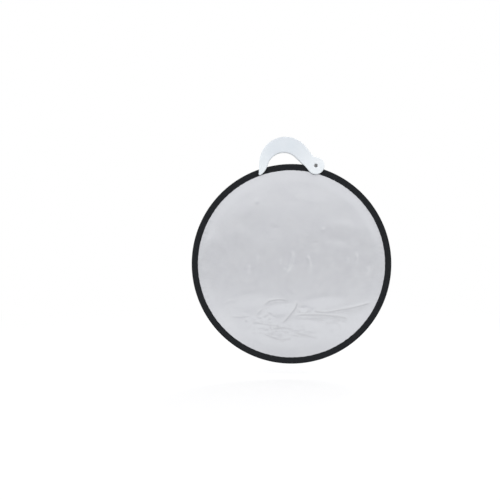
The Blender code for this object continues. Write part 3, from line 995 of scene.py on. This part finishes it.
def turned(name, profile, centre, steps=64):
    """(radius, height) points swept round the bench's Z at a centre; flat faces close both ends."""
    if profile[0][1] < profile[-1][1]:
        profile = profile[::-1]
    angles = [2 * math.pi * k / steps for k in range(steps)]
    points = [
        (centre[0] + radius * math.cos(angle), centre[1] + radius * math.sin(angle), height)
        for radius, height in profile
        for angle in angles
    ]
    faces = [tuple(range(steps)), tuple(range(len(points) - 1, len(points) - steps - 1, -1))]
    for ring in range(0, len(points) - steps, steps):
        for k in range(steps):
            after = (k + 1) % steps
            faces.append((ring + k, ring + steps + k, ring + steps + after, ring + after))
    mesh = bpy.data.meshes.new(name)
    mesh.from_pydata(points, [], faces)
    return link(name, mesh)


def drawn_piece(name, shape):
    """Puts a finished bmesh in the scene."""
    mesh = bpy.data.meshes.new(name)
    shape.to_mesh(mesh)
    shape.free()
    return link(name, mesh)


def block(name, size, centre):
    shape = bmesh.new()
    bmesh.ops.create_cube(shape, size=1)
    bmesh.ops.scale(shape, verts=shape.verts, vec=size)
    bmesh.ops.translate(shape, verts=shape.verts, vec=centre)
    return drawn_piece(name, shape)


def combine(target, tool, operation="DIFFERENCE"):
    """Applies a Boolean at once and leaves the tool as it is."""
    boolean = target.modifiers.new("cut", "BOOLEAN")
    boolean.object = tool
    boolean.operation = operation
    boolean.solver = "EXACT"
    mesh = baked(target)
    target.modifiers.clear()
    target.data = mesh


def drum(name, radius, low, high, centre, steps=64):
    """A plain cylinder on the bench."""
    return turned(name, [(radius, high), (radius, low)], centre, steps)


# %% [markdown]
# The shells leave room for the rim at the tip and for the saddle under the boss. A pad round the pivot
# comes down to the washers, and round posts take the three screws.

# %% Handle shells
SEAT_GAP = 0.6 * MM
BOSS_CLEAR = 30 * MM
PAD_FACE = 6.9 * MM
PAD_RADIUS = 10 * MM
HEAD_SEAT = 8.5 * MM
WELL_RADIUS = 5.6 * MM
SHELL_GAP = 0.15 * MM
POST_RADIUS = 4.6 * MM
PIVOT_HOLE = 2.7 * MM
PILOT_RADIUS = 1.7 * MM
PILOT_TOP = 6.3 * MM
OVERLAP = 0.5 * MM
THROUGH = 0.02
LIP = 0.5 * MM
pivot_place = (PIVOT_X, PIVOT_Y)
inside = HANDLE_HALF - CHEEK
seat = RIM_RADIUS + SEAT_GAP


def screw_places():
    """Bench places of the shell screws, from their CAD boxes."""
    places = []
    for number in (1, 2, 3):
        low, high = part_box(f"shell_screw_{number}")
        middle = (low + high) / 2 - DISC_CENTRE
        places.append((middle.x, middle.z))
    return places


SCREW_PLACES = screw_places()


def make_shell_cutter():
    """Everything that both shells are hollowed by, as one list of solids."""
    cavity = slab("cavity", belt(HANDLE_CIRCLES, SKIRT), -inside, inside)
    rib = drum("seat_rib", seat + SKIRT, -THROUGH, THROUGH, (0, 0), 480)
    boss_rib = drum("boss_rib", BOSS_CLEAR + SKIRT, -THROUGH, THROUGH, pivot_place)
    combine(cavity, rib)
    combine(cavity, boss_rib)
    remove(rib, boss_rib)
    slot = drum("slot", seat, -inside, inside, (0, 0), 480)
    room = drum("room", BOSS_CLEAR, -inside, inside, pivot_place)
    return [cavity, slot, room]


def screw_bore(radius, seat_height, centre):
    """Cutter for a counterbore from the back face, with a small bevel at its mouth."""
    profile = [
        (radius + LIP, -THROUGH),
        (radius + LIP, -HANDLE_HALF - 0.01 * MM),
        (radius, -HANDLE_HALF + LIP),
        (radius, -seat_height),
    ]
    return turned("screw_bore", profile, centre, 40)


def make_shell(name, side, hollows):
    shell = slab(name, belt(HANDLE_CIRCLES), -HANDLE_HALF, HANDLE_HALF, HANDLE_EDGE)
    other_half = block("other_half", (0.6, 0.6, 0.1), (0, PIVOT_Y, -side * (0.05 - SHELL_GAP)))
    combine(shell, other_half)
    remove(other_half)
    for hollow in hollows:
        combine(shell, hollow)
    low, high = sorted((side * PAD_FACE, side * (inside + OVERLAP)))
    pad = drum("pad", PAD_RADIUS, low, high, pivot_place)
    combine(shell, pad, "UNION")
    hole = drum("hole", PIVOT_HOLE, -THROUGH, THROUGH, pivot_place)
    combine(shell, hole)
    remove(pad, hole)
    low, high = sorted((side * SHELL_GAP, side * (inside + OVERLAP)))
    for place in SCREW_PLACES:
        post = drum("post", POST_RADIUS, low, high, place, 40)
        combine(shell, post, "UNION")
        pilot = drum("pilot", PILOT_RADIUS, -THROUGH, PILOT_TOP, place, 32)
        combine(shell, pilot)
        remove(post, pilot)
    return shell


hollows = make_shell_cutter()
front_shell = make_shell("handle_front_moulding", 1, hollows)
back_shell = make_shell("handle_back_moulding", -1, hollows)
remove(*hollows)

# %% [markdown]
# The front shell has a shallow dish for the pivot screw, so that the head lies below its face and catches
# no fingers. The back one has a hexagonal pocket that keeps the nut from turning, and a counterbore for
# each screw.

# %% Dish, counterbores and nut pocket
NUT_ACROSS_FLATS = 8 * MM
POCKET_ROOM = 0.6 * MM
SCREW_BORE = 3.1 * MM
# (distance out from the well, depth below the face) in mm
DISH_PROFILE = [(3.3, -0.35), (2.75, 0.02), (2.2, 0.2), (1.4, 0.5), (0.6, 0.86), (0.15, 1.15), (0.0, 1.5)]
dish = [(WELL_RADIUS + out * MM, HANDLE_HALF - depth * MM) for out, depth in DISH_PROFILE]
front_bore = turned("front_bore", dish + [(WELL_RADIUS, HEAD_SEAT)], pivot_place)
combine(front_shell, front_bore)
pocket_radius = (NUT_ACROSS_FLATS + POCKET_ROOM) / math.sqrt(3)
pocket = drum("pocket", pocket_radius, -THROUGH, -HEAD_SEAT, pivot_place, 6)
combine(back_shell, pocket)
remove(front_bore, pocket)
for place in SCREW_PLACES:
    sunk = screw_bore(SCREW_BORE, HEAD_SEAT, place)
    combine(back_shell, sunk)
    remove(sunk)


# %% [markdown]
# The plastic is a cool white with a satin gloss. Moulded plastic is never quite even, so it has a very fine
# orange-peel bump, and its gloss changes slowly from place to place. Painted shade makes it a little darker
# at the crown of the arch than at the boss and the tip.


# %% Handle finish
# Painted shade: the plastic is darker near this point at the crown of the arch.
CROWN_SHADE_CENTRE = DISC_CENTRE + Vector((PIVOT_X - 92 * MM, 0, PIVOT_Y + 70 * MM))
CROWN_SHADE_FADE = (0.03, 0.13)


def make_white_plastic():
    material, tree, shader = new_material("white_moulded_plastic")
    place = object_place(tree)
    tint = mottled(tree, place, 16.0, 2.0)
    gloss = mottled(tree, place, 60.0, 4.0, 0.27, 0.36)
    peel = mottled(tree, place, 1400.0, 2.0)
    away = add_node(tree, "ShaderNodeVectorMath", {0: place, 1: CROWN_SHADE_CENTRE}, operation="DISTANCE").outputs["Value"]
    unshaded_share = smooth_range(tree, away, *CROWN_SHADE_FADE)
    # Painted shade: held is the darker tone painted at the crown of the arch, and the colour runs to the plain
    # tone away from it.
    held = between(tree, tint, (0.585, 0.63, 0.675), (0.625, 0.655, 0.695))
    unshaded_tone = between(tree, tint, (0.66, 0.705, 0.735), (0.715, 0.745, 0.775))
    colour = between(tree, unshaded_share, held, unshaded_tone)
    normal = bumped(tree, peel, 0.00001, 0.6)
    set_inputs(tree, shader, Base_Color=colour, Roughness=gloss, Normal=normal)
    set_inputs(tree, shader, Coat_Weight=0.15, Coat_Roughness=0.2)
    return material


plastic = make_white_plastic()
SMOOTH_ANGLE = math.radians(32)
MERGE = 0.000004


def finish_solid(piece, material, body, node):
    """Stands a bench solid upright, smooths it and ties it to the model."""
    shape = bmesh.new()
    shape.from_mesh(piece.data)
    bmesh.ops.remove_doubles(shape, verts=shape.verts, dist=MERGE)
    bmesh.ops.dissolve_degenerate(shape, edges=shape.edges, dist=MERGE)
    shape.to_mesh(piece.data)
    shape.free()
    piece.data.materials.clear()
    piece.data.materials.append(material)
    piece.data.transform(STAND_UP)
    piece.data.shade_smooth()
    piece.data.set_sharp_from_angle(angle=SMOOTH_ANGLE)
    flats = piece.modifiers.new("flat faces lead", "WEIGHTED_NORMAL")
    flats.keep_sharp = True
    leading = baked(piece)
    piece.modifiers.clear()
    piece.data = leading
    tie(piece, body, node)
    print(piece.name, len(piece.data.polygons), "faces")


finish_solid(front_shell, plastic, "handle", "handle_front_shell")
finish_solid(back_shell, plastic, "handle", "handle_back_shell")

# %% [markdown]
# ## Screws and nut
#
# The pivot screw has a pan head with a cross recess. The recess is cut by two tapered blades, wider at the
# face than at the bottom, as a driver's tip is.


# %% Metal finishes
def make_metal(name, dark, light, roughness, grain, depth):
    material, tree, shader = new_material(name)
    place = object_place(tree)
    lines = use_group(tree, scratches, Vector=place, Scale=grain)["Height"]
    colour = between(tree, mottled(tree, place, 220.0), dark, light)
    rough = mottled(tree, place, 300.0, 3.0, roughness * 0.8, roughness * 1.25)
    normal = bumped(tree, lines, depth, 0.5)
    set_inputs(tree, shader, Base_Color=colour, Roughness=rough, Metallic=1.0, Normal=normal)
    return material


def add_recess_shade(material):
    """Darkens and dulls a metal where its mesh marks the deep recess: painted shade."""
    tree = material.node_tree
    shader = tree.nodes["Principled BSDF"]
    recess_shade = add_node(tree, "ShaderNodeAttribute", attribute_name="recess_shade").outputs["Fac"]
    colour = shader.inputs["Base Color"].links[0].from_socket
    # Painted shade: the colour goes near black deep in the recess.
    tree.links.new(between(tree, recess_shade, colour, (0.03, 0.03, 0.032)), shader.inputs["Base Color"])
    rough = shader.inputs["Roughness"].links[0].from_socket
    dull = add_node(tree, "ShaderNodeMix", {"Factor": recess_shade, "A": rough, "B": 0.7})
    tree.links.new(dull.outputs["Result"], shader.inputs["Roughness"])


bright_steel = make_metal(
    "bright_plated_steel", (0.8, 0.805, 0.82), (0.9, 0.905, 0.92), 0.14, 1500.0, 0.000008
)
add_recess_shade(bright_steel)
spring_steel = make_metal("spring_steel_strip", (0.3, 0.31, 0.33), (0.48, 0.49, 0.51), 0.32, 1200.0, 0.00002)
plated_steel = make_metal("plated_steel", (0.5, 0.5, 0.5), (0.62, 0.62, 0.63), 0.28, 1200.0, 0.00002)
brass = make_metal("turned_brass", (0.6, 0.42, 0.16), (0.75, 0.56, 0.25), 0.25, 1500.0, 0.00002)


# %% Screws
RECESS_TAPER = (1.12, 0.6)
RECESS_SHADE_DEPTH = 0.5 * MM
HEAD_DEPTH = 4 * MM


def cross_blades(centre, face, side, recess):
    """Two crossed tapered blades for a driver recess, given as an arm's width, length, depth and turn."""
    wide, long, depth, turn = recess
    blades = []
    for size in ((wide, long), (long, wide)):
        shape = bmesh.new()
        bmesh.ops.create_cube(shape, size=1)
        for vertex in shape.verts:
            mouth = vertex.co.z * side > 0
            taper = RECESS_TAPER[0] if mouth else RECESS_TAPER[1]
            vertex.co.x *= size[0] * taper
            vertex.co.y *= size[1] * taper
            vertex.co.z = face + side * (0.3 * MM if mouth else -depth)
        bmesh.ops.rotate(shape, verts=shape.verts, matrix=Matrix.Rotation(turn, 3, "Z"))
        bmesh.ops.translate(shape, verts=shape.verts, vec=(*centre, 0))
        blades.append(drawn_piece("blade", shape))
    return blades


def mark_recess_shade(screw, centre, face, side, reach):
    """Attribute that is 1 deep in the recess and 0 on the head, for the painted shade there."""
    recess_shade = screw.data.attributes.new("recess_shade", "FLOAT", "POINT")
    for vertex, mark in zip(screw.data.vertices, recess_shade.data):
        x, y, z = vertex.co
        inside_recess = math.hypot(x - centre[0], y - centre[1]) < reach
        deep = side * (face - z) > RECESS_SHADE_DEPTH
        shallow = side * (face - z) < HEAD_DEPTH
        mark.value = float(inside_recess and deep and shallow)


def make_screw(name, profile, centre, face, side, recess, node):
    screw = turned(name, profile, centre)
    for blade in cross_blades(centre, face, side, recess):
        combine(screw, blade)
        remove(blade)
    mark_recess_shade(screw, centre, face, side, 0.6 * recess[1])
    finish_solid(screw, bright_steel, "handle", node)


def domed_head(radius, foot, top, side):
    """Profile of a pan head, from its crown to its underside."""
    rise = top - foot
    return [
        (0.2 * radius, side * top),
        (0.4 * radius, side * (top - 0.03 * rise)),
        (0.6 * radius, side * (top - 0.1 * rise)),
        (0.82 * radius, side * (top - 0.28 * rise)),
        (0.95 * radius, side * (top - 0.52 * rise)),
        (radius, side * (top - 0.75 * rise)),
        (0.99 * radius, side * foot),
    ]


pivot_foot = HEAD_SEAT + 0.3 * MM
pivot_top = HANDLE_HALF - 0.2 * MM
PIVOT_HEAD, PIVOT_SHANK, PIVOT_TIP = 5 * MM, 2.4 * MM, 2.0 * MM
SHELL_HEAD, SHELL_SHANK, SHELL_TIP = 2.8 * MM, 1.4 * MM, 0.3 * MM
pivot_profile = domed_head(PIVOT_HEAD, pivot_foot, pivot_top, 1) + [
    (PIVOT_SHANK, pivot_foot),
    (PIVOT_SHANK, -pivot_top + 0.4 * MM),
    (PIVOT_TIP, -pivot_top),
]
PIVOT_RECESS = (2.3 * MM, 8.2 * MM, 2.2 * MM, math.radians(45))
SHELL_RECESS = (0.9 * MM, 3.1 * MM, 1.1 * MM, 0.0)
make_screw("cross_head_pivot_screw", pivot_profile, pivot_place, pivot_top, 1, PIVOT_RECESS, "pivot_screw")
for number, place in enumerate(SCREW_PLACES, 1):
    foot, top = pivot_foot, pivot_foot + 1.8 * MM
    profile = domed_head(SHELL_HEAD, foot, top, -1) + [
        (SHELL_SHANK, -foot),
        (SHELL_SHANK, 4 * MM),
        (SHELL_TIP, 6 * MM),
    ]
    make_screw(f"handle_screw_{number}", profile, place, -top, -1, SHELL_RECESS, f"shell_screw_{number}")

# %% Nut
nut_foot, nut_top = -pivot_foot, -pivot_top
hexagon = drum("captive_nut", NUT_ACROSS_FLATS / math.sqrt(3), nut_top, nut_foot, pivot_place, 6)
corner = 4.3 * MM
rounding = turned(
    "rounding",
    [
        (6 * MM, nut_foot + 1 * MM),
        (6 * MM, nut_top + 0.9 * MM),
        (corner - 0.1 * MM, nut_top - 0.05 * MM),
    ],
    pivot_place,
)
combine(hexagon, rounding, "INTERSECT")
nut_hole = drum("nut_hole", PIVOT_HOLE, -THROUGH, 0.0, pivot_place)
combine(hexagon, nut_hole)
remove(rounding, nut_hole)
finish_solid(hexagon, bright_steel, "handle", "pivot_nut")


# %% [markdown]
# ## Finishes for the pieces that stay as they are
#
# The saddle, rivets, washers, sleeve, pads, hoop and ferrule are small or hidden, and their solids already
# have the right shape. They only need a finish: moulded black plastic, natural nylon, rubber, brass and
# steel.


# %% Small-part finishes
def make_moulded(name, dark, light, rough_low, rough_high, grain, depth):
    material, tree, shader = new_material(name)
    place = object_place(tree)
    colour = between(tree, mottled(tree, place, 90.0), dark, light)
    rough = mottled(tree, place, 140.0, 3.0, rough_low, rough_high)
    normal = bumped(tree, mottled(tree, place, grain, 2.0), depth, 0.6)
    set_inputs(tree, shader, Base_Color=colour, Roughness=rough, Normal=normal)
    return material


saddle_plastic = make_moulded(
    "black_moulded_plastic", (0.02,) * 3, (0.035, 0.035, 0.037), 0.4, 0.55, 2500.0, 0.00004
)
nylon = make_moulded("natural_nylon", (0.72, 0.72, 0.68), (0.8, 0.8, 0.77), 0.35, 0.5, 1500.0, 0.00002)
rubber = make_moulded("matt_rubber", (0.016,) * 3, (0.03,) * 3, 0.75, 0.95, 3000.0, 0.00006)
STAYING = {
    spring_steel: ["spring_hoop"],
    plated_steel: ["hoop_ferrule", "saddle_rivet_left", "saddle_rivet_right"],
    saddle_plastic: ["saddle_front", "saddle_back"],
    brass: ["pivot_sleeve"],
    nylon: ["friction_washer_front", "friction_washer_back"],
    rubber: ["tip_pad_front", "tip_pad_back"],
}
for material, nodes in STAYING.items():
    for node in nodes:
        mesh = frame["nodes"][node].data
        mesh.materials.clear()
        mesh.materials.append(material)
    print(material.name, "on", ", ".join(nodes))

# %% Import json
import json
